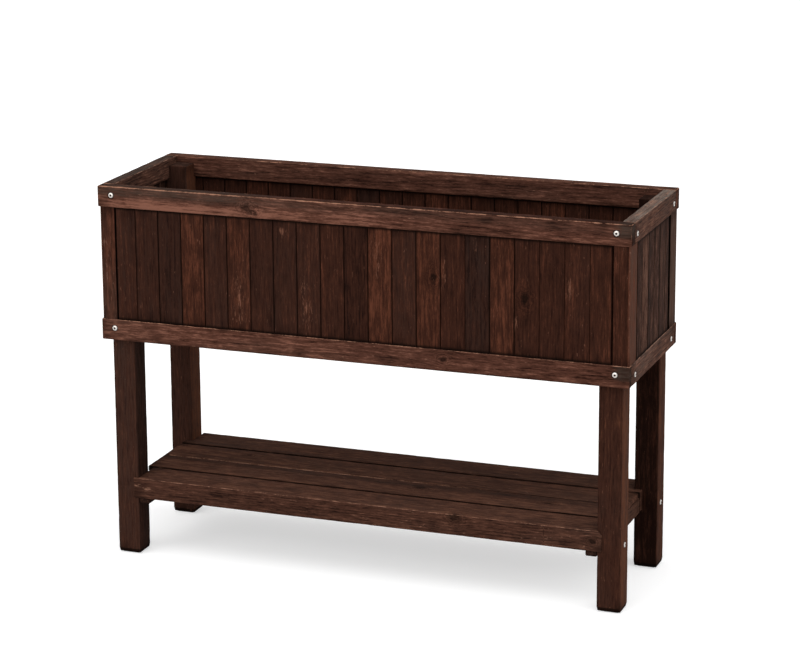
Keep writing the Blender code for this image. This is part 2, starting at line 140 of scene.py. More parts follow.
def stained_wood(name, dark, middle, light, cool, worn, contrast=0.6, roughness=0.75, seam_reach=0.0026):
    """Sawn softwood under a dark penetrating stain: streaks, growth rings, knots and rubbed arrises, with
    dark joints and slots that are partly dirt and partly painted shade.
    """
    wood, shader, blank = new_finish(name)
    dark, middle, light, cool, worn = (srgb(*colour) for colour in (dark, middle, light, cool, worn))

    def stored(attribute, output="Fac"):
        return blank.node("ShaderNodeAttribute", {}, {"attribute_name": attribute}, output)

    grain = stored("grain", "Vector")
    knot = stored("knot", "Vector")
    edge = stored("edge")
    end = stored("end")
    joint = stored("joint")

    reach = blank.vector_math("LENGTH", knot, output="Value")
    side = blank.vector_math("MULTIPLY", knot, (0.0, 1.0, 1.0))
    bent = blank.vector_math("SUBTRACT", grain, side.scaled(0.012 / (reach * reach + 1.2)))

    streak = bent.noise(2.6, 60.0, 4.0, 0.64)
    figure = bent.noise(24.0, 270.0, 3.0, 0.68)
    fibre = bent.noise(90.0, 760.0, 3.0, 0.7)
    blotch = bent.noise(20.0, 40.0, 5.0, 0.7)
    cloud = bent.noise(2.2, 10.0, 2.0, 0.5)
    flat = blank.vector_math("MULTIPLY", bent, (0.02, 1.0, 1.0))
    rings = blank.vector_math("LENGTH", flat, output="Value") * 210.0 + bent.noise(2.5, 16.0) * 4.0
    ring = blank.math("FRACT", rings)
    late_wood = ring.between(0.5, 0.9) - ring.between(0.92, 1.0)

    tone = (
        0.5
        + (streak - 0.5) * (1.2 * contrast)
        + (figure - 0.5) * (2.1 * contrast)
        + (fibre - 0.5) * (1.2 * contrast)
        + (blotch - 0.5) * (1.4 * contrast)
        - (late_wood - 0.3) * (0.2 * contrast)
        + stored("shade")
    )
    colour = tone.between(0.05, 0.55).blend(dark, middle)
    colour = tone.between(0.5, 1.05).blend(colour, light)
    coolness = (cloud.between(0.48, 0.72) * 0.35 + stored("tint")) * (0.35 + figure.between(0.36, 0.62))
    colour = (coolness * (1.15 - tone)).limited().blend(colour, cool)

    ends = (1.0 - end.between(0.004, 0.04)) * bent.noise(14.0, 45.0, 3.0, 0.6).between(0.4, 0.6)
    colour = (ends * 0.6).blend(colour, dark)
    check = grain.noise(24.0, 380.0, 3.0, 0.6).between(0.62, 0.74) * blotch.between(0.4, 0.6)
    colour = (check * 0.55).blend(colour, dark)

    coarse = grain.noise(42.0, 75.0, 2.0, 0.6) - 0.5
    fine = grain.noise(110.0, 190.0, 2.0, 0.6) - 0.5
    ragged = reach + (coarse * 1.6 + fine * 1.5)
    core = 1.0 - ragged.between(0.35, 0.85)
    spread = 1.0 - ragged.between(0.9, 2.6)
    whorl = blank.math("FRACT", ragged * 1.9)
    swirl = whorl.between(0.0, 0.4) - whorl.between(0.5, 0.95)
    colour = (spread * swirl * 0.42).blend(colour, dark)
    colour = (spread * (1.0 - swirl) * 0.14).blend(colour, light)
    colour = (core * 0.75).blend(colour, KNOT_HEART)

    speck = grain.noise(70.0, 240.0, 2.0, 0.6).between(0.68, 0.75) * cloud.between(0.42, 0.6)
    scratched = grain.noise(48.0, 260.0, 4.0, 0.75) + stored("bare") * 0.17
    scuff = scratched.between(0.62, 0.8)
    colour = (speck * 0.4 + scuff * 0.6).limited().blend(colour, worn)
    fray = grain.noise(40.0, 60.0, 5.0, 0.78)
    rubbed = (stored("rub") * (0.0003 + fray.between(0.34, 0.74) * 0.0014) - edge).between(-0.0003, 0.0006)
    colour = (rubbed * (0.25 + fray.between(0.25, 0.65) * 0.55)).blend(colour, worn)

    # Painted shade and dirt: dark along the arrises beside joints and slots, a painted shadow under the
    # top rail and over the lower rail, and black where the joint level passes 1.
    beside = 1.0 - edge.between(0.0003, seam_reach)
    tucked = 1.0 - end.between(0.0085, 0.0155)
    seam = beside.math("MAXIMUM", beside * joint, tucked * joint.between(0.0, 0.2) * 0.85)
    seam = seam.math("MAXIMUM", seam, joint - 1.0).limited()
    colour = seam.blend(colour, JOINT_DIRT_AND_SHADE)

    colour.into(shader, "Base Color")
    dull = roughness + (streak - 0.5) * 0.2 + (figure - 0.5) * 0.25 + rubbed * 0.1
    dull.into(shader, "Roughness")
    height = fibre * 0.5 + figure * 0.5 + streak * 0.3 - late_wood * 0.12 - check * 0.5 - core * 0.5
    bump = blank.node("ShaderNodeBump", {"Strength": 0.6, "Distance": 0.001, "Height": height})
    bump.into(shader, "Normal")
    shader.inputs["Specular IOR Level"].default_value = 0.008
    return wood


def modifier_tree(name, sockets):
    """An empty Geometry Nodes tree with a geometry input, named inputs and a geometry output."""
    tree = bpy.data.node_groups.new(name, "GeometryNodeTree")
    tree.interface.new_socket("Geometry", in_out="INPUT", socket_type="NodeSocketGeometry")
    for label, kind in sockets.items():
        tree.interface.new_socket(label, in_out="INPUT", socket_type="NodeSocket" + kind)
    tree.interface.new_socket("Geometry", in_out="OUTPUT", socket_type="NodeSocketGeometry")
    entry = tree.nodes.new("NodeGroupInput")
    given = {socket.name: Figure(tree, socket) for socket in entry.outputs if socket.name}
    return Figure(tree), given


def closed(result, material=None):
    """The finished tree, which hands on what it made, in its material if it is given one."""
    if material:
        result = result.node("GeometryNodeSetMaterial", {"Geometry": result, "Material": material})
    result.into(result.tree.nodes.new("NodeGroupOutput"), 0)
    return result.tree


def weathering_tree():
    """Pulls the surface in by a fraction of a millimetre where the saw, the plane and wear left it low."""
    blank, given = modifier_tree("weathering", {"Relief": "Float", "Wear": "Float"})
    grain = blank.named("grain")
    edge = blank.named("edge", "FLOAT")
    swell = grain.noise(5.0, 26.0, 2.0, 0.5)
    ripple = grain.noise(30.0, 140.0, 2.0, 0.5)
    chipped = (1.0 - edge.between(0.0, 0.004)) * grain.noise(38.0, 30.0, 3.0, 0.7).between(0.46, 0.78)
    depth = (swell * 0.7 + ripple * 0.3) * given["Relief"] + chipped * given["Wear"]
    inward = blank.node("GeometryNodeInputNormal", {}).scaled(depth * -1.0)
    return closed(blank.node("GeometryNodeSetPosition", {"Geometry": given["Geometry"], "Offset": inward}))


def keep_plain(piece):
    """Applies everything on a piece, so that it is a plain mesh."""
    bpy.context.view_layer.update()
    evaluated = piece.evaluated_get(bpy.context.evaluated_depsgraph_get())
    mesh = bpy.data.meshes.new_from_object(evaluated)
    piece.modifiers.clear()
    spent = piece.data
    piece.data = mesh
    mesh.name = piece.name
    bpy.data.meshes.remove(spent)


def run_tree(piece, tree, values):
    modifier = piece.modifiers.new(tree.name, "NODES")
    modifier.node_group = tree
    for socket in tree.interface.items_tree:
        if socket.name in values:
            modifier[socket.identifier] = values[socket.name]
    keep_plain(piece)


def grid_lines(low, high, arris, pitch):
    """Where a timber's surface is divided along one side, closer where the arris turns."""
    turns = [arris * tan(radians(turn)) for turn in (15, 30, 45)]
    count = max(1, round((high - low - 2 * arris) / pitch))
    flat = np.linspace(low + arris, high - arris, count + 1)
    before = [low + arris - turn for turn in reversed(turns)]
    after = [high - arris + turn for turn in turns]
    return np.concatenate([before, flat, after])


GRID_ALONG_FIBRE = 0.009
GRID_ACROSS_FIBRE = 0.005


def timber_mesh(name, low, high, fibre, arris):
    """A squared timber as one closed grid with rounded arrises. Its grain follows the axis fibre."""
    low, high = np.array(low), np.array(high)
    lines = []
    for axis in range(3):
        pitch = GRID_ALONG_FIBRE if axis == fibre else GRID_ACROSS_FIBRE
        lines.append(grid_lines(low[axis], high[axis], arris, pitch))
    counts = [len(line) for line in lines]
    quads = []
    for axis in range(3):
        u, v = (axis + 1) % 3, (axis + 2) % 3
        across, up = np.meshgrid(np.arange(counts[u] - 1), np.arange(counts[v] - 1), indexing="ij")
        for level, turn in ((counts[axis] - 1, 1), (0, -1)):
            corners = []
            for step_u, step_v in ((0, 0), (1, 0), (1, 1), (0, 1))[::turn]:
                index = np.zeros((3, across.size), int)
                index[axis] = level
                index[u] = across.ravel() + step_u
                index[v] = up.ravel() + step_v
                corners.append(np.ravel_multi_index(tuple(index), counts))
            quads.append(np.stack(corners, axis=1))
    used, faces = np.unique(np.concatenate(quads), return_inverse=True)
    index = np.unravel_index(used, counts)
    places = np.stack([lines[axis][index[axis]] for axis in range(3)], axis=1)
    core = np.clip(places, low + arris, high - arris)
    out = places - core
    places = core + out * arris / np.linalg.norm(out, axis=1, keepdims=True)
    mesh = bpy.data.meshes.new(name)
    mesh.from_pydata(places.tolist(), [], faces.reshape(-1, 4).tolist())
    return mesh


def placed(name, mesh):
    piece = bpy.data.objects.new(name, mesh)
    bpy.context.scene.collection.objects.link(piece)
    return piece


def discard(piece):
    mesh = piece.data
    bpy.data.objects.remove(piece)
    bpy.data.meshes.remove(mesh)


def saw(piece, cutters):
    """Cuts a piece with other objects, which are used up."""
    for cutter in cutters:
        cut = piece.modifiers.new("saw", "BOOLEAN")
        cut.operation = "DIFFERENCE"
        cut.solver = "EXACT"
        cut.object = cutter
    keep_plain(piece)
    for cutter in cutters:
        discard(cutter)


def block(low, high):
    """A plain block to cut with."""
    low, high = Vector(low), Vector(high)
    shape = bmesh.new()
    bmesh.ops.create_cube(shape, size=1.0)
    bmesh.ops.scale(shape, vec=high - low, verts=shape.verts)
    bmesh.ops.translate(shape, vec=(low + high) / 2, verts=shape.verts)
    mesh = bpy.data.meshes.new("block")
    shape.to_mesh(mesh)
    shape.free()
    return placed("block", mesh)


def vectors_of(items, kind="co"):
    flat = np.empty(len(items) * 3, np.float32)
    items.foreach_get(kind, flat)
    return flat.reshape(-1, 3)


def store(mesh, name, values):
    """Keeps numbers or vectors on a mesh's points, for the stain to read."""
    vectors = values.ndim == 2
    kept = mesh.attributes.new(name, "FLOAT_VECTOR" if vectors else "FLOAT", "POINT")
    kept.data.foreach_set("vector" if vectors else "value", values.astype(np.float32).ravel())


def along_fibre(places, fibre):
    """Places with the fibre's axis first."""
    return places[:, [fibre, (fibre + 1) % 3, (fibre + 2) % 3]]


LOG_LOW = (-9.0, 0.02, 0.02)
LOG_HIGH = (9.0, 0.11, 0.11)


def mark_grain(mesh, low, high, fibre, seed):
    """Stores each point's place in the log that the timber came from, and how far edge and end are."""
    places = vectors_of(mesh.vertices)
    low, high = np.array(low), np.array(high)
    log = np.random.default_rng(seed).uniform(LOG_LOW, LOG_HIGH)
    store(mesh, "grain", along_fibre(places - (low + high) / 2, fibre) + log)
    depth = np.minimum(places - low, high - places)
    store(mesh, "edge", np.maximum(np.sort(depth, axis=1)[:, 1], 0.0))
    store(mesh, "end", np.maximum(depth[:, fibre], 0.0))


def mark_stain(mesh, fibre, knots=(), scuffs=(), upper=0.0, greying_and_sheen=0.3, **levels):
    """Stores each point's place from its nearest knot, in knot radii, and the levels of the stain.
    Faces that look up are painted lighter or darker by one number, as the light and shade on them,
    and greyer by another, which is partly weathering and partly a painted sheen."""
    flat = vectors_of(mesh.vertices).astype(float)
    places = along_fibre(flat, fibre)

    def away_from(spot, along, across):
        """Each point's place from a spot, in the spot's own reach along and across the fibre."""
        return (places - along_fibre(np.array([spot]), fibre)) / (along, across, across)

    nearest = np.full_like(places, 40.0)
    for spot, size in knots:
        away = away_from(spot, size * 1.5, size)
        closer = np.linalg.norm(away, axis=1) < np.linalg.norm(nearest, axis=1)
        nearest[closer] = away[closer]
    store(mesh, "knot", nearest)
    bare = np.zeros(len(places))
    for spot, length, width, strength in scuffs:
        away = away_from(spot, length, width)
        bare = np.maximum(bare, strength * np.exp(-(away ** 2).sum(axis=1)))
    store(mesh, "bare", bare)
    upward = vectors_of(mesh.vertex_normals, "vector")[:, 2]
    # Painted light and shade on the faces that look up, and a grey on them that is partly weathering and
    # partly a painted sheen.
    on_top = np.clip(upward, 0.0, 1.0)
    added = {"shade": upper * on_top, "tint": greying_and_sheen * on_top}
    for name in ("shade", "tint", "rub", "joint"):
        if name not in mesh.attributes:
            level = levels.get(name, 0.0)
            level = level(flat) if callable(level) else np.full(len(places), level)
            if name == "rub":
                level = level * np.clip(0.55 + upward, 0.15, 1.2)
            store(mesh, name, level + added.get(name, 0.0))


def smooth(mesh, limit=38.0):
    """Shades a mesh smoothly, apart from edges that turn by more than the limit in degrees."""
    mesh.shade_smooth()
    mesh.set_sharp_from_angle(angle=radians(limit))


def dress(piece, slot, *nodes):
    """Fixes a finished piece to the frame in place of the CAD nodes that it stands for."""
    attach(piece, "root")
    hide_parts(*nodes)


def timber(node, fibre, arris, seed, wood, cutters=(), relief=0.0004, wear=0.0012, **marks):
    """One solid timber, from the sawmill to its place in the bed."""
    low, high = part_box(node)
    piece = placed("stained_" + node, timber_mesh(node, low, high, fibre, arris))
    if cutters:
        saw(piece, cutters)
    mark_grain(piece.data, low, high, fibre, seed)
    run_tree(piece, weathering, {"Relief": relief, "Wear": wear})
    mark_stain(piece.data, fibre, **marks)
    piece.data.materials.clear()
    piece.data.materials.append(wood)
    smooth(piece.data)
    return piece


def grown(node, by):
    low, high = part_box(node)
    margin = Vector((by, by, by))
    return low - margin, high + margin


ALONG_X, ALONG_Y, ALONG_Z = 0, 1, 2
weathering = weathering_tree()

CLEARANCE = 0.0003
LEG_ARRIS = 0.0022
FOOT_HEIGHT = 0.01
FOOT_TAPER = 0.0022
PAD_HEIGHT = 0.003
PAD_INSET = 0.006
SIDE_BLEND = 0.002
OVERRUN = 0.01

leg_wood = stained_wood(
    "leg_stain", contrast=0.5,
    dark=(26, 14, 10), middle=(54, 31, 23), light=(92, 56, 40), cool=(58, 42, 36), worn=(118, 80, 60),
)
bolt_boxes = {node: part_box(node) for node in sorted(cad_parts) if node.startswith("bolt_")}


def bolt_seat(node):
    """Where a bolt's head ends, which way it faces, and how long the bolt is."""
    low, high = bolt_boxes[node]
    size = high - low
    axis = max(range(3), key=lambda index: size[index])
    facing = Vector((0.0, 0.0, 0.0))
    facing[axis] = 1.0 if (low + high)[axis] > 0 else -1.0
    top = (low + high) / 2 + facing * size[axis] / 2
    return top, facing, size[axis]


BOLT_HEAD_HEIGHT = 0.0032
BOLT_SHANK_RADIUS = 0.0025
COUNTERBORE_RADIUS = 0.0074
HOLE_SIDES = 28
SEARCH_MARGIN = 0.001


def face_outwards(mesh):
    """Joins points that coincide, and turns every face of a closed mesh outwards."""
    shape = bmesh.new()
    shape.from_mesh(mesh)
    bmesh.ops.remove_doubles(shape, verts=shape.verts, dist=0.00001)
    bmesh.ops.recalc_face_normals(shape, faces=shape.faces)
    shape.to_mesh(mesh)
    shape.free()


def turned(name, profile, steps):
    """A profile of (radius, height) points, top to bottom, turned about Z."""
    mesh = bpy.data.meshes.new(name)
    edges = [(index, index + 1) for index in range(len(profile) - 1)]
    mesh.from_pydata([(radius, 0.0, height) for radius, height in profile], edges, [])
    piece = placed(name, mesh)
    lathe = piece.modifiers.new("lathe", "SCREW")
    lathe.steps = steps
    lathe.render_steps = steps
    lathe.use_merge_vertices = True
    lathe.merge_threshold = 0.00001
    keep_plain(piece)
    face_outwards(piece.data)
    return piece


def bolt_hole(node):
    """The counterbore and clearance hole that a bolt needs, as a cutter in place."""
    top, facing, length = bolt_seat(node)
    bore = BOLT_SHANK_RADIUS + CLEARANCE
    seat = -BOLT_HEAD_HEIGHT - CLEARANCE
    hole = turned("hole", [
        (0.0, BOLT_HEAD_HEIGHT),
        (COUNTERBORE_RADIUS, BOLT_HEAD_HEIGHT),
        (COUNTERBORE_RADIUS, seat),
        (bore, seat),
        (bore, -length - CLEARANCE),
        (0.0, -length - CLEARANCE),
    ], HOLE_SIDES)
    turn = Vector((0.0, 0.0, 1.0)).rotation_difference(facing).to_matrix().to_4x4()
    hole.data.transform(Matrix.Translation(top) @ turn)
    return hole


def holes_through(node):
    """A cutter for every bolt that enters a timber."""
    low, high = grown(node, SEARCH_MARGIN)
    found = []
    for bolt, (bolt_low, bolt_high) in bolt_boxes.items():
        if all(bolt_low[axis] < high[axis] and low[axis] < bolt_high[axis] for axis in range(3)):
            found.append(bolt_hole(bolt))
    return found


def ramp(values, start, stop):
    """0 up to the start, 1 from the stop on, and an even change between them."""
    return np.clip((values - start) / (stop - start), 0.0, 1.0)


def by_side(right_side, rest, right):
    """One level on a leg, and another on its right side. On most legs the right side is painted lighter,
    as the light from the right, and greyer, as a painted sheen; on the front left leg it is stained
    darker.
    """

    def level(places):
        return rest + (right - rest) * ramp(places[:, 0], right_side - SIDE_BLEND, right_side)

    return level


def blackened_foot(places):
    """The pad under the foot, and the end grain round it, are coloured black."""
    return 2.0 * (places[:, 2] < PAD_HEIGHT + 0.0002)


def blocks_round(low, high, inner_low, inner_high):
    """Four blocks that fill the space between a box and an upright hole through it."""
    (left, front, base), (right, back, top) = low, high
    (hole_left, hole_front), (hole_right, hole_back) = inner_low, inner_high
    return [
        block((left, front, base), (right, hole_front, top)),
        block((left, hole_back, base), (right, back, top)),
        block((left, hole_front, base), (hole_left, hole_back, top)),
        block((hole_right, hole_front, base), (right, hole_back, top)),
    ]


def pad_cutters(node):
    """The blocks that cut the pad's outline round the foot of a leg."""
    low, high = grown(node, OVERRUN)
    pad_low, pad_high = grown(node, -PAD_INSET)
    return blocks_round(low, (high.x, high.y, PAD_HEIGHT), pad_low.xy, pad_high.xy)


leg_looks = {
    "leg_front_left": dict(
        seed=11, shade=(0.0, -0.3), tint=(0.6, 0.4), knots=[((-0.521, -0.142, 0.465), 0.004)]
    ),
    "leg_front_right": dict(seed=12, shade=(0.0, 0.5), tint=(0.1, 2.2)),
    "leg_back_left": dict(seed=13, shade=(-0.05, 0.62), tint=(0.5, 2.8)),
    # The back right leg's front is painted darker, as the shade under the trough; its right side is
    # painted lighter, as light.
    "leg_back_right": dict(seed=14, shade=(-0.36, 0.28), tint=(0.0, 0.8)),
}
for node, looks in leg_looks.items():
    low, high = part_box(node)
    for level in ("shade", "tint"):
        looks[level] = by_side(high.x, *looks[level])
    end_name, side_name = node.split("_")[1:]
    housings = [block(*grown("top_rail_" + place, CLEARANCE)) for place in (end_name, side_name)]
    cutters = housings + holes_through(node) + pad_cutters(node)
    looks.update(wood=leg_wood, cutters=cutters, rub=0.55, joint=blackened_foot)
    leg = timber(node, ALONG_Z, LEG_ARRIS, **looks)
    middle, half = (low + high) / 2, (high.x - low.x) / 2
    for point in leg.data.vertices:
        shrink = 1.0 - FOOT_TAPER * max(0.0, 1.0 - point.co.z / FOOT_HEIGHT) / half
        point.co.x = middle.x + (point.co.x - middle.x) * shrink
        point.co.y = middle.y + (point.co.y - middle.y) * shrink
    dress(leg, "stained_wood_legs", node)


# Rails: two frames of planed timber, bolted round the legs. The long rails run over the ends of the
# short ones. The boards are tucked into a channel under the top frame and a rebate in the lower one.

RAIL_ARRIS = 0.0026
PATCH_LEFT_EDGE = 0.552, 0.568
PATCH_LOWER_EDGE = 0.013, 0.021
BAND_LOWER_EDGE = 0.802, 0.814

rail_wood = stained_wood(
    "rail_stain", contrast=0.7,
    dark=(34, 18, 13), middle=(76, 47, 37), light=(124, 83, 68), cool=(64, 52, 45), worn=(162, 118, 96),
)
end_rail_wood = stained_wood(
    "end_rail_stain", contrast=0.8,
    dark=(34, 20, 15), middle=(76, 48, 38), light=(124, 86, 70), cool=(116, 106, 98), worn=(162, 122, 102),
)

outer_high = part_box("corner_post_back_right")[1]
inner_high = Vector((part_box("panel_right")[0].x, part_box("panel_back")[0].y, 0.0))


def wall_channel(base, top):
    """The blocks that clear the way for the walls, between two levels."""
    x_in, y_in = inner_high.x - CLEARANCE, inner_high.y - CLEARANCE
    x_out, y_out = outer_high.x + CLEARANCE, outer_high.y + CLEARANCE
    return blocks_round((-x_out, -y_out, base), (x_out, y_out, top), (-x_in, -y_in), (x_in, y_in))


def bolt_patch(node):
    """A front rail has weathered dark grey beyond its right bolt, above its lower third."""
    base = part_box(node)[0].z

    def level(places):
        return ramp(places[:, 0], *PATCH_LEFT_EDGE) * ramp(places[:, 2] - base, *PATCH_LOWER_EDGE)

    return level


top_patch = bolt_patch("top_rail_front")
lower_patch = bolt_patch("lower_rail_front")


def grey_band(places):
    """The upper half of the front top rail is weathered grey too, most of all towards its left end."""
    left = np.maximum(ramp(places[:, 0], 0.05, -0.3), 0.25)
    return np.maximum(left * ramp(places[:, 2], *BAND_LOWER_EDGE), top_patch(places))


def paler_left(node, middle, rise, grey):
    """The depth of stain on a front rail, which is paler towards the left end, and is darker
    where it is grey. The end grain drank so much that it is nearly black."""
    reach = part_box(node)[1].x

    def level(places):
        ends = ramp(abs(places[:, 0]) - reach, -0.001, -0.0002)
        along = np.clip(-places[:, 0] / 0.45, -0.12, 1.0)
        return middle + rise * along - 0.32 * grey(places) - 0.45 * ends

    return level


def rubbed_left(places):
    """The top rail's arrises are rubbed bare, and most of all over the left half."""
    return 1.7 + 0.7 * ramp(places[:, 0], 0.05, -0.1)


rail_looks = {
    # The front top rail's top face is painted darker, as shade, and with less of the painted grey sheen.
    "top_rail_front": dict(
        seed=21, shade=paler_left("top_rail_front", 0.1, 0.26, grey_band), upper=-0.28,
        greying_and_sheen=-0.5, tint=grey_band, rub=rubbed_left,
        knots=[((-0.24, -0.188, 0.804), 0.012), ((-0.224, -0.188, 0.794), 0.006)],
    ),
    "top_rail_back": dict(seed=22, tint=0.1, knots=[((0.31, 0.188, 0.812), 0.009)]),
    # The left top rail's top face is painted darker, as shade, and a little less grey.
    "top_rail_left": dict(seed=23, tint=0.1, greying_and_sheen=0.08, upper=-0.32),
    # The right top rail's top face is greyed, partly weathering and partly a painted sheen.
    "top_rail_right": dict(
        seed=24, shade=-0.05, tint=0.16, greying_and_sheen=0.8, upper=0.04,
        scuffs=[
            ((0.578, -0.09, 0.83), 0.05, 0.007, 1.2),
            ((0.57, 0.03, 0.83), 0.06, 0.007, 1.2),
            ((0.581, 0.13, 0.83), 0.04, 0.006, 1.2),
        ],
    ),
    "lower_rail_front": dict(
        seed=25, shade=paler_left("lower_rail_front", -0.04, 0.14, lower_patch), tint=lower_patch,
        knots=[((0.191, -0.187, 0.516), 0.008)],
    ),
    "lower_rail_back": dict(seed=26, tint=0.05, knots=[((-0.27, 0.187, 0.508), 0.009)]),
    "lower_rail_left": dict(seed=27, tint=0.1),
    "lower_rail_right": dict(seed=28, shade=0.02, tint=0.15),
}
wall_low, wall_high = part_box("panel_front")
for node, looks in rail_looks.items():
    low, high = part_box(node)
    if node.startswith("top"):
        cutters = wall_channel(low.z - CLEARANCE, wall_high.z + CLEARANCE)
    else:
        cutters = wall_channel(wall_low.z - CLEARANCE, high.z + CLEARANCE)
    cutters += holes_through(node)
    fibre, wood = (ALONG_X, rail_wood) if high.x - low.x > high.y - low.y else (ALONG_Y, end_rail_wood)
    rail = timber(node, fibre, RAIL_ARRIS, wood=wood, cutters=cutters, **{"rub": 1.2, **looks})
    dress(rail, "stained_wood_rails", node)


# Walls: matched boards, upright and edge to edge, whose rounded arrises meet in a V at each joint.
# They are stained before they are fitted, so each board has its own depth of colour.

BOARD_PITCH = 0.053
END_BOARD_PITCH = 0.0447
BOARD_ARRIS = 0.0019
BOARD_GAP = 0.00004
END_WALL_SLOT = 0.014
FRONT_FACE = -0.185
BOARD_VARIATION = 0.06
PALE_STEP = 0.15
COOL_STEP = 0.35

board_wood = stained_wood(
    "board_stain", contrast=0.5,
    dark=(24, 12, 9), middle=(52, 29, 21), light=(92, 53, 38), cool=(48, 34, 29), worn=(128, 86, 68),
)
end_board_wood = stained_wood(
    "end_board_stain", contrast=0.85, seam_reach=0.005,
    dark=(20, 12, 9), middle=(56, 36, 29), light=(106, 76, 63), cool=(66, 50, 44), worn=(132, 98, 82),
)


def board_row_tree():
    """Sets a board at each point of a row, as wide as its place there, and sawn from a log of its own."""
    inputs = {"Board": "Object", "Seed": "Int", "Relief": "Float", "Wear": "Float", "Stain": "Material"}
    blank, given = modifier_tree("board_row", inputs)

    def keeping(geometry, attribute, value, domain):
        inputs = {"Geometry": geometry, "Name": attribute, "Value": value}
        settings = {"data_type": "FLOAT_VECTOR", "domain": domain}
        return blank.node("GeometryNodeStoreNamedAttribute", inputs, settings)

    board = blank.node("GeometryNodeObjectInfo", {"Object": given["Board"]}, output="Geometry")
    scale = blank.node("ShaderNodeCombineXYZ", {"X": blank.named("width", "FLOAT"), "Y": 1.0, "Z": 1.0})
    placing = {"Points": given["Geometry"], "Instance": board, "Scale": scale}
    row = blank.node("GeometryNodeInstanceOnPoints", placing)
    places = {0: LOG_LOW, 1: LOG_HIGH, "Seed": given["Seed"]}
    log = blank.node("FunctionNodeRandomValue", places, {"data_type": "FLOAT_VECTOR"})
    row = keeping(row, "log", log, "INSTANCE")
    real = blank.node("GeometryNodeRealizeInstances", {"Geometry": row})
    place = blank.named("grain"), blank.named("log")
    real = keeping(real, "grain", blank.vector_math("ADD", *place), "POINT")
    inputs = {"Geometry": real, "Relief": given["Relief"], "Wear": given["Wear"]}
    worn = blank.node("GeometryNodeGroup", inputs, {"node_tree": weathering})
    return closed(worn, given["Stain"])


board_row = board_row_tree()


def wall(
    node, turn, seed, wood, pitch=BOARD_PITCH, slot=0.0, pale=(), deep=(), cool=(), tight=(), **marks
):
    """One wall: a row of boards in the wall's own plane, then turned to its side of the bed."""
    low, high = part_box(node)
    size = high - low
    length, thick = max(size.x, size.y), min(size.x, size.y)
    count = round(length / pitch)
    joints = (np.arange(count + 1) - count / 2) * pitch
    joints[[0, -1]] = -length / 2, length / 2 - slot
    widths = np.diff(joints)
    half = np.array((pitch / 2 - BOARD_GAP, thick / 2, size.z / 2))
    board = placed("board", timber_mesh("board", -half, half, ALONG_Z, BOARD_ARRIS))
    full = np.array((pitch / 2, thick / 2, size.z / 2))
    mark_grain(board.data, -full, full, ALONG_Z, seed)
    middles = (joints[1:] + joints[:-1]) / 2
    row = bpy.data.meshes.new(node)
    row.from_pydata([(middle, 0.0, 0.0) for middle in middles], [], [])
    chance = np.random.default_rng(seed)
    shade = chance.uniform(-BOARD_VARIATION, BOARD_VARIATION, len(widths))
    tint = chance.uniform(0.0, 0.2, len(widths))
    shade[list(pale)] += PALE_STEP
    shade[list(deep)] -= PALE_STEP
    tint[list(pale)] = 0.0
    tint[list(cool)] += COOL_STEP
    store(row, "width", widths / pitch)
    store(row, "shade", shade)
    store(row, "tint", tint)
    dirt_and_shade = chance.uniform(0.8, 1.0, len(joints))
    dirt_and_shade[list(tight)] = 0.25

    def joint_dirt_and_shade(places):
        """The boards are darker along each joint, partly dirt and partly painted shade, and a tight joint
        hardly at all. The same level lets the painted shadow under the top rail and over the lower rail
        show.
        """
        along = places[:, 0] * cos(radians(turn)) + places[:, 1] * sin(radians(turn))
        return dirt_and_shade[abs(along[:, None] - joints).argmin(axis=1)]

    piece = placed("boards_" + node.split("_")[1], row)
    values = {"Board": board, "Seed": seed, "Relief": 0.0003, "Wear": 0.0005, "Stain": wood}
    run_tree(piece, board_row, values)
    discard(board)
    piece.data.transform(Matrix.Translation((low + high) / 2) @ Matrix.Rotation(radians(turn), 4, "Z"))
    mark_stain(piece.data, ALONG_Z, rub=0.6, joint=joint_dirt_and_shade, **marks)
    smooth(piece.data)
    dress(piece, "stained_wood_boards", node)


front_knots = (0.17, 0.688, 0.011), (0.367, 0.659, 0.0125)
front_scuffs = (
    (-0.264, 0.6, 0.07, 0.016, 1.0),
    (-0.12, 0.64, 0.03, 0.008, 1.0),
    (-0.112, 0.59, 0.05, 0.014, 1.0),
    (0.046, 0.72, 0.06, 0.012, 0.9),
    (0.261, 0.757, 0.012, 0.005, 1.0),
    (-0.164, 0.76, 0.012, 0.012, 1.4),
    (0.194, 0.7, 0.03, 0.006, 1.3),
    (0.347, 0.606, 0.014, 0.004, 1.8),
    (0.462, 0.688, 0.022, 0.007, 1.5),
)
wall(
    "panel_front", 0, 31, board_wood,
    pale=(3, 5, 11, 13, 16), deep=(2, 10, 15), cool=(0, 1, 2, 4, 6, 7, 8, 12, 15), tight=(15, 18, 19, 20),
    knots=[((x, FRONT_FACE, z), size) for x, z, size in front_knots],
    scuffs=[((x, FRONT_FACE, z), *scuff) for x, z, *scuff in front_scuffs],
)
wall("panel_back", 180, 32, board_wood, pale=(4, 9, 17), deep=(6, 12), cool=(1, 12, 15))
wall("panel_left", -90, 33, end_board_wood, pale=(3,), cool=(1,))
wall(
    "panel_right", 90, 34, end_board_wood,
    pitch=END_BOARD_PITCH, slot=END_WALL_SLOT, pale=(1,), cool=(4,), tight=(1, 3, 5),
)


# Corner posts: one moulded length of L section at each corner, which wraps the leg's outer faces.
# The outer corner is rounded, and its stain is rubbed thin there. A step on each inner edge laps
# behind the next board and leaves a deep joint beside it, widest at the back of the right end.

POST_ROUND = 0.005
POST_ROUND_STEPS = 8
POST_STEP_WIDTH = 0.003
POST_STEP_DEPTH = 0.006
REAR_LAP = END_WALL_SLOT - 0.0005
DARK_LINE_PLACE = 0.0065
DARK_LINE_WIDTH = 0.002

post_wood = stained_wood(
    "post_stain", contrast=0.5,
    dark=(24, 12, 9), middle=(52, 29, 21), light=(92, 54, 40), cool=(88, 69, 60), worn=(142, 106, 90),
)


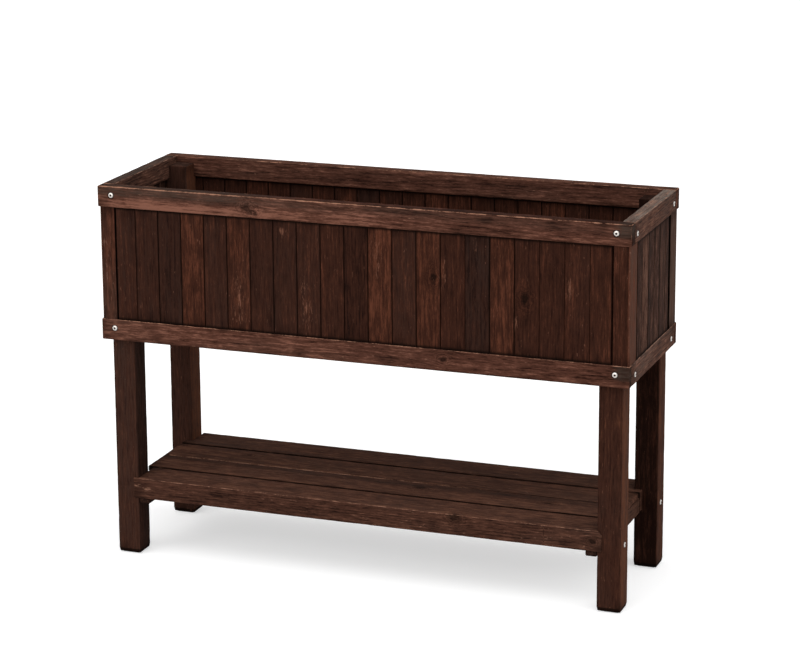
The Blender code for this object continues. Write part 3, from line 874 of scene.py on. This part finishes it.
def post_outline(width, depth, thick, lap):
    """The post's section, with its outer corner at the origin and its arms along +X and +Y."""
    arms = [
        (width, thick),
        (thick, thick),
        (thick, depth + lap),
        (POST_STEP_DEPTH, depth + lap),
        (POST_STEP_DEPTH, depth - POST_STEP_WIDTH),
        (0.0, depth - POST_STEP_WIDTH),
    ]
    for step in range(POST_ROUND_STEPS + 1):
        turn = pi / 2 * step / POST_ROUND_STEPS
        arms.append((POST_ROUND - POST_ROUND * cos(turn), POST_ROUND - POST_ROUND * sin(turn)))
    return arms + [
        (width - POST_STEP_WIDTH, 0.0),
        (width - POST_STEP_WIDTH, POST_STEP_DEPTH),
        (width, POST_STEP_DEPTH),
    ]


def divided(outline, pitch):
    """An outline with points added along its long sides."""
    points = []
    for start, stop in zip(outline, outline[1:] + outline[:1]):
        start, stop = np.array(start), np.array(stop)
        count = max(1, round(np.linalg.norm(stop - start) / pitch))
        points += [start + (stop - start) * step / count for step in range(count)]
    return np.array(points)


def moulded_mesh(name, section, low, high):
    """A section drawn upwards from one level to another, as a closed grid."""
    levels = np.linspace(low, high, round((high - low) / GRID_ALONG_FIBRE) + 1)
    count = len(section)
    places = [(x, y, level) for level in levels for x, y in section]
    faces = []
    for ring in range(len(levels) - 1):
        for point in range(count):
            after = (point + 1) % count
            base = ring * count
            faces.append((base + point, base + after, base + count + after, base + count + point))
    faces.append(tuple(range(count))[::-1])
    faces.append(tuple(range(len(places) - count, len(places))))
    mesh = bpy.data.meshes.new(name)
    mesh.from_pydata(places, [], faces)
    face_outwards(mesh)
    return mesh


def post_levels(corner, shade, tint):
    """How the stain, and the light and shade painted on it, vary over a post with its outer corner at the
    given point.
    """

    def reach_in(places):
        """How far each point is from the post's two outer planes."""
        return abs(places[:, 0] - corner.x), abs(places[:, 1] - corner.y)

    def arm_shade(places):
        """The arm along the end of the bed is painted paler, as the light that falls on that side, and a
        dark line is painted beside the corner.
        """
        across = reach_in(places)[0]
        dark_line = np.exp(-(((across - DARK_LINE_PLACE) / DARK_LINE_WIDTH) ** 2))
        return shade + 0.32 * ramp(across, 0.006, 0.003) - 0.55 * dark_line

    def arm_tint(places):
        """The same arm is greyer, as a painted sheen."""
        return tint + 1.35 * ramp(reach_in(places)[0], 0.003, 0.001)

    def black_joint(places):
        """The deep joint beside each arm is painted black, as the shade in it."""
        across, deep = reach_in(places)
        past_corner = ramp(np.maximum(across, deep), 0.006, 0.008)
        return 8.0 * past_corner * ramp(np.minimum(across, deep), 0.0008, 0.0018)

    def thin_corner(places):
        """The outer corner is rubbed thin."""
        return 0.8 + 2.2 * ramp(np.maximum(*reach_in(places)), 0.006, 0.003)

    return dict(shade=arm_shade, tint=arm_tint, joint=black_joint, rub=thin_corner)


post_looks = {
    "corner_post_front_left": dict(
        seed=41, shade=0.16, tint=0.1, scuffs=[((-0.572, -0.19, 0.65), 0.07, 0.01, 0.8)]
    ),
    "corner_post_front_right": dict(seed=42, shade=0.05, tint=-0.05),
    "corner_post_back_left": dict(seed=43, shade=0.05, tint=0.0),
    "corner_post_back_right": dict(seed=44, shade=-0.27, tint=-0.25),
}
thick = wall_high.y - wall_low.y
for node, looks in post_looks.items():
    low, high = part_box(node)
    side = 1 if low.x < 0 else -1
    end = 1 if low.y < 0 else -1
    corner = Vector((low.x if side > 0 else high.x, low.y if end > 0 else high.y))
    lap = REAR_LAP if node == "corner_post_back_right" else 0.0
    outline = post_outline(high.x - low.x, high.y - low.y, thick, lap)
    section = divided(outline, GRID_ACROSS_FIBRE) * (side, end) + np.array(corner)
    post = placed("stained_" + node, moulded_mesh(node, section, low.z, high.z))
    mark_grain(post.data, low, high, ALONG_Z, looks.pop("seed"))
    run_tree(post, weathering, {"Relief": 0.0003, "Wear": 0.0})
    looks.update(post_levels(corner, looks["shade"], looks["tint"]))
    mark_stain(post.data, ALONG_Z, **looks)
    post.data.materials.append(post_wood)
    smooth(post.data)
    dress(post, "stained_wood_corner_posts", node)


# Trough floor: three bearers screwed between the lower rails carry five boards, laid lengthwise with
# slots between them so that water can drain. The stain is thinner here.

inner_wood = stained_wood(
    "floor_stain", roughness=0.68,
    dark=(44, 28, 21), middle=(92, 64, 50), light=(128, 96, 76), cool=(84, 70, 61), worn=(150, 118, 96),
)
FLOOR_ARRIS = 0.0014
floor_nodes = [node for node in sorted(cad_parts) if node.startswith("floor_")]
for index, node in enumerate(floor_nodes):
    fibre = ALONG_Y if "bearer" in node else ALONG_X
    shade = 0.04 * (index % 3 - 1)
    piece = timber(node, fibre, FLOOR_ARRIS, 51 + index, inner_wood, rub=0.5, shade=shade)
    dress(piece, "stained_wood_floor", node)


# Shelf: two heavy beams notched round the legs, bolted through them, with two thin boards between.
# Side rails, a middle bearer and two cross battens carry the boards from below.

shelf_wood = stained_wood(
    "shelf_stain", contrast=0.7,
    dark=(30, 18, 14), middle=(66, 42, 33), light=(104, 70, 55), cool=(74, 55, 47), worn=(150, 110, 90),
)
BEAM_CORNER_CUT = 0.0064
CUT_REACH = 0.2
SHELF_ARRIS = 0.0024
SUPPORT_ARRIS = 0.0016
BATTEN_ARRIS = 0.003
NARROW_JOINT = 0.002


def corner_cut(corner):
    """A block turned by 45 degrees, to take the corner off a beam's end."""
    half = Vector((BEAM_CORNER_CUT, CUT_REACH, BEAM_CORNER_CUT))
    cutter = block(-half, half)
    cutter.data.transform(Matrix.Translation(corner) @ Matrix.Rotation(radians(45), 4, "Y"))
    return cutter


def slot_side(node):
    """Marks the side of a shelf timber that faces a wide slot, which is painted dark from the arris down,
    as the shade in the slot.
    The narrow joint between the two boards is painted dark, as its shade, only towards the right."""
    low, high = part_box(node)
    slot = high.y if node in ("shelf_front_beam", "shelf_board_rear") else low.y

    def level(places):
        wide = 2.0 * ramp(abs(places[:, 1] - slot), SHELF_ARRIS, 0.0)
        narrow = np.minimum(ramp(abs(places[:, 1] - NARROW_JOINT), 0.004, 0.003), 0.95)
        return np.maximum(wide, narrow * np.maximum(ramp(places[:, 0], 0.05, 0.25), 0.25))

    return level


def dark_rear(places):
    """The front board is stained deeper along its rear edge."""
    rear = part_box("shelf_board_front")[1].y
    return 0.2 - 0.3 * ramp(places[:, 1] - rear, -0.034, -0.018)


def pale_front_arris(places):
    """The rear board's front arris stands a little proud and is painted pale towards the left: it is
    rubbed, and has a painted highlight where it faces the light.
    """
    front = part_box("shelf_board_rear")[0].y
    return 0.5 + 1.2 * ramp(places[:, 0], 0.3, 0.0) * ramp(places[:, 1] - front, 0.004, 0.003)


beam_top_right = Vector((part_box("shelf_front_beam")[1].x, 0.0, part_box("shelf_front_beam")[1].z))
shelf_looks = {
    # The front beam's top face is painted lighter, as light.
    "shelf_front_beam": dict(
        seed=61, rub=1.1, shade=-0.05, upper=0.2,
        knots=[((0.211, -0.174, 0.169), 0.013), ((0.513, -0.174, 0.153), 0.007)],
        scuffs=[((-0.498, -0.174, 0.155), 0.009, 0.008, 1.7), ((-0.52, -0.174, 0.161), 0.016, 0.006, 1.2)],
    ),
    "shelf_rear_beam": dict(seed=62, rub=0.7, shade=0.1, tint=0.1),
    "shelf_board_front": dict(
        seed=63, rub=0.6, shade=dark_rear, tint=0.1,
        knots=[((0.374, -0.036, 0.177), 0.01), ((0.084, -0.031, 0.177), 0.013)],
    ),
    "shelf_board_rear": dict(
        seed=64, rub=pale_front_arris, shade=0.17, tint=0.1,
        knots=[((-0.353, 0.06, 0.177), 0.006)],
    ),
    "shelf_side_rail_left": dict(seed=65, arris=SUPPORT_ARRIS, rub=0.5, tint=0.2),
    "shelf_side_rail_right": dict(seed=66, arris=SUPPORT_ARRIS, rub=0.5, tint=0.3, shade=0.05),
    "shelf_centre_bearer": dict(seed=67, arris=SUPPORT_ARRIS, rub=0.3),
    "shelf_batten_left": dict(seed=68, arris=BATTEN_ARRIS, rub=0.3, shade=-0.3, tint=0.1),
    "shelf_batten_right": dict(seed=69, arris=BATTEN_ARRIS, rub=0.3, shade=-0.4, tint=0.1),
}
for node, looks in shelf_looks.items():
    low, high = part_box(node)
    cutters = []
    if node.endswith("beam"):
        end_name = "front" if "front" in node else "back"
        over_low, over_high = grown(node, OVERRUN)
        left_leg = grown("leg_" + end_name + "_left", CLEARANCE)
        right_leg = grown("leg_" + end_name + "_right", CLEARANCE)
        front = left_leg[0].y
        cutters.append(block((over_low.x, front, over_low.z), (left_leg[1].x, over_high.y, over_high.z)))
        cutters.append(block((right_leg[0].x, front, over_low.z), over_high))
        cutters += holes_through(node)
    if node == "shelf_front_beam":
        cutters.append(corner_cut(beam_top_right))
    fibre = ALONG_X if high.x - low.x > high.y - low.y else ALONG_Y
    if fibre == ALONG_X:
        looks["joint"] = slot_side(node)
    looks = {"arris": SHELF_ARRIS, **looks}
    piece = timber(node, fibre, wood=shelf_wood, cutters=cutters, **looks)
    dress(piece, "stained_wood_shelf", node)


# Bolts: zinc-plated, with a low domed head and a hexagon socket, sunk a little into a counterbore.
# Two hold each corner of each frame to its leg, and four hold the shelf beams between the legs.

BOLT_HEAD_RADIUS = 0.006
BRIGHT_RADIUS = 0.0046
SHADED_RADIUS = 0.0058
DOME_STEPS = 6
BOLT_SIDES = 40
BOLT_RIM_HEIGHT = 0.0012
BOLT_RIM_BEVEL = 0.0003
BOLT_POINT_HEIGHT = 0.003
SOCKET_RADIUS = 0.0023
SOCKET_DEPTH = 0.0018


def zinc_plate():
    """Bright plating under a thin, uneven film. The socket and the rim are painted dark, as the shade in
    the socket and in the counterbore round the head.
    """
    plate, shader, blank = new_finish("zinc_plate")
    place = blank.node("ShaderNodeTexCoord", {}, output="Object")
    film = place.noise(320.0, 320.0, 3.0, 0.6)
    colour = film.between(0.35, 0.65).blend(srgb(182, 174, 167), srgb(216, 209, 203))
    grime = blank.node("ShaderNodeAttribute", {}, {"attribute_name": "grime"}, "Fac")
    # Painted shade in the socket and round the rim.
    colour = grime.blend(colour, srgb(52, 46, 42))
    colour.into(shader, "Base Color")
    (0.24 + film * 0.12 + grime * 0.3).limited().into(shader, "Roughness")
    shader.inputs["Metallic"].default_value = 1.0
    return plate


def bolt_blank(length):
    """A bolt whose head ends at the origin and whose shank hangs below it."""
    profile = [(0.0, 0.0)]
    for step in range(DOME_STEPS):
        turn = pi / 2 * (step + 1) / DOME_STEPS
        drop = (BOLT_HEAD_HEIGHT - BOLT_RIM_HEIGHT) * (1 - cos(turn))
        profile.append((BOLT_HEAD_RADIUS * sin(turn), -drop))
    profile += [
        (BOLT_HEAD_RADIUS, -BOLT_HEAD_HEIGHT + BOLT_RIM_BEVEL),
        (BOLT_HEAD_RADIUS - BOLT_RIM_BEVEL, -BOLT_HEAD_HEIGHT),
        (BOLT_SHANK_RADIUS, -BOLT_HEAD_HEIGHT),
        (BOLT_SHANK_RADIUS, -length + BOLT_POINT_HEIGHT),
        (BOLT_SHANK_RADIUS / 2, -length),
        (0.0, -length),
    ]
    bolt = turned("bolt", profile, BOLT_SIDES)
    shape = bmesh.new()
    radii = {"radius1": SOCKET_RADIUS, "radius2": SOCKET_RADIUS}
    bmesh.ops.create_cone(shape, cap_ends=True, segments=6, depth=2 * SOCKET_DEPTH, **radii)
    mesh = bpy.data.meshes.new("socket")
    shape.to_mesh(mesh)
    shape.free()
    saw(bolt, [placed("socket", mesh)])
    places = vectors_of(bolt.data.vertices)
    reach = np.hypot(places[:, 0], places[:, 1])
    # Painted shade goes in the socket, and on the rim, as the counterbore's shadow.
    socket = (reach < SOCKET_RADIUS + 0.0001) & (places[:, 2] > -SOCKET_DEPTH - 0.0001)
    rim = ramp(reach, BRIGHT_RADIUS, SHADED_RADIUS)
    store(bolt.data, "grime", np.maximum(socket, 0.75 * rim))
    return bolt


def bolt_set_tree():
    """Sets a bolt at each seat, facing out of the wood, with its socket left at any angle."""
    blank, given = modifier_tree("bolt_set", {"Bolt": "Object", "Seed": "Int", "Plate": "Material"})
    bolt = blank.node("GeometryNodeObjectInfo", {"Object": given["Bolt"]}, output="Geometry")
    facing = {"Vector": blank.named("facing")}
    upright = blank.node("FunctionNodeAlignRotationToVector", facing, {"axis": "Z"})
    angles = {2: 0.0, 3: pi / 3, "Seed": given["Seed"]}
    spin = blank.node("FunctionNodeRandomValue", angles, {"data_type": "FLOAT"}, output=1)
    spun = blank.node("FunctionNodeAxisAngleToRotation", {"Axis": (0.0, 0.0, 1.0), "Angle": spin})
    turn = blank.node("FunctionNodeRotateRotation", {0: upright, 1: spun}, {"rotation_space": "LOCAL"})
    placing = {"Points": given["Geometry"], "Instance": bolt, "Rotation": turn}
    seats = blank.node("GeometryNodeInstanceOnPoints", placing)
    real = blank.node("GeometryNodeRealizeInstances", {"Geometry": seats})
    return closed(real, given["Plate"])


plating = zinc_plate()
bolt_set = bolt_set_tree()
for index, (level, title) in enumerate((("top", "top_rail"), ("lower", "lower_rail"), ("shelf", "shelf"))):
    nodes = [node for node in bolt_boxes if node.startswith("bolt_" + level)]
    seats = [bolt_seat(node) for node in nodes]
    bolt = bolt_blank(seats[0][2])
    mesh = bpy.data.meshes.new(title + "_bolts")
    mesh.from_pydata([tuple(top) for top, facing, length in seats], [], [])
    store(mesh, "facing", np.array([tuple(facing) for top, facing, length in seats]))
    bolts = placed(title + "_bolts", mesh)
    run_tree(bolts, bolt_set, {"Bolt": bolt, "Seed": index, "Plate": plating})
    smooth(bolts.data, 30.0)
    discard(bolt)
    dress(bolts, "plated_steel", *nodes)


# Studio: a white floor that runs out of sight, broad soft lights from above, the front and the
# right, and a camera to the right of the bed and a little above it.

def seen_plainly(blank):
    """1 where the camera sees a surface itself, in a mirror or through glass, and 0 for its light."""
    return sum(
        blank.node("ShaderNodeLightPath", {}, output=output)
        for output in ("Is Camera Ray", "Is Glossy Ray", "Is Transmission Ray")
    ).limited()


mesh = bpy.data.meshes.new("studio_floor")
reach = 30.0
corners = [(-reach, -reach, 0.0), (reach, -reach, 0.0), (reach, reach, 0.0), (-reach, reach, 0.0)]
mesh.from_pydata(corners, [], [(0, 1, 2, 3)])
floor = placed("studio_floor", mesh)
paper, shader, blank = new_finish("white_paper")
shader.inputs["Base Color"].default_value = srgb(214, 214, 214)
shader.inputs["Roughness"].default_value = 0.9
shader.inputs["Specular IOR Level"].default_value = 0.1
glow = {"Color": (1.0, 1.0, 1.0, 1.0), "Strength": seen_plainly(blank) * 0.52}
lift = blank.node("ShaderNodeEmission", glow)
matt = Figure(blank.tree, shader.outputs[0])
both = blank.node("ShaderNodeAddShader", {0: matt, 1: lift})
both.into(paper.node_tree.nodes["Material Output"], "Surface")
mesh.materials.append(paper)

world = bpy.data.worlds.new("studio")
bpy.context.scene.world = world
world.use_nodes = True
blank = Figure(world.node_tree)
glow = {"Color": (1.0, 1.0, 1.0, 1.0), "Strength": 0.28 + seen_plainly(blank) * 0.72}
sky = blank.node("ShaderNodeBackground", glow)
sky.into(world.node_tree.nodes["World Output"], "Surface")

camera_place = (1.9884, -5.3386, 2.0589)
yaw, pitch, roll = radians(21.269), radians(-13.397), radians(-0.583)
width, height = 800, 647
focal_pixels = 2744.8
lens_centre = (347.6, 245.3)
ahead = Vector((-sin(yaw) * cos(pitch), cos(yaw) * cos(pitch), sin(pitch)))
level = Vector((cos(yaw), sin(yaw), 0.0))
upward = level.cross(ahead)
right = level * cos(roll) + upward * sin(roll)
up = upward * cos(roll) - level * sin(roll)
data = bpy.data.cameras.new("studio_camera")
camera = bpy.data.objects.new("studio_camera", data)
bpy.context.scene.collection.objects.link(camera)
turn = Matrix((right, up, -ahead)).transposed()
camera.matrix_world = Matrix.Translation(camera_place) @ turn.to_4x4()
data.sensor_width = 36.0
data.lens = focal_pixels / width * data.sensor_width
data.shift_x = (width / 2 - lens_centre[0]) / width
data.shift_y = (lens_centre[1] - height / 2) / width
bpy.context.scene.camera = camera

# Each light is so broad, and so far away, that it falls alike on the whole floor.
for name, origin, spread, strength in (
    ("overhead_light", (-0.1, -0.15, 1.0), 60.0, 0.8),
    ("front_light", (-0.25, -1.0, 0.72), 75.0, 1.9),
    ("right_light", (1.0, -0.2, 0.8), 75.0, 1.2),
):
    lamp = bpy.data.lights.new(name, "SUN")
    lamp.angle = radians(spread)
    lamp.energy = strength
    holder = bpy.data.objects.new(name, lamp)
    holder.rotation_euler = (-Vector(origin)).to_track_quat("-Z", "Y").to_euler()
    bpy.context.scene.collection.objects.link(holder)
bpy.context.scene.view_settings.view_transform = "Standard"
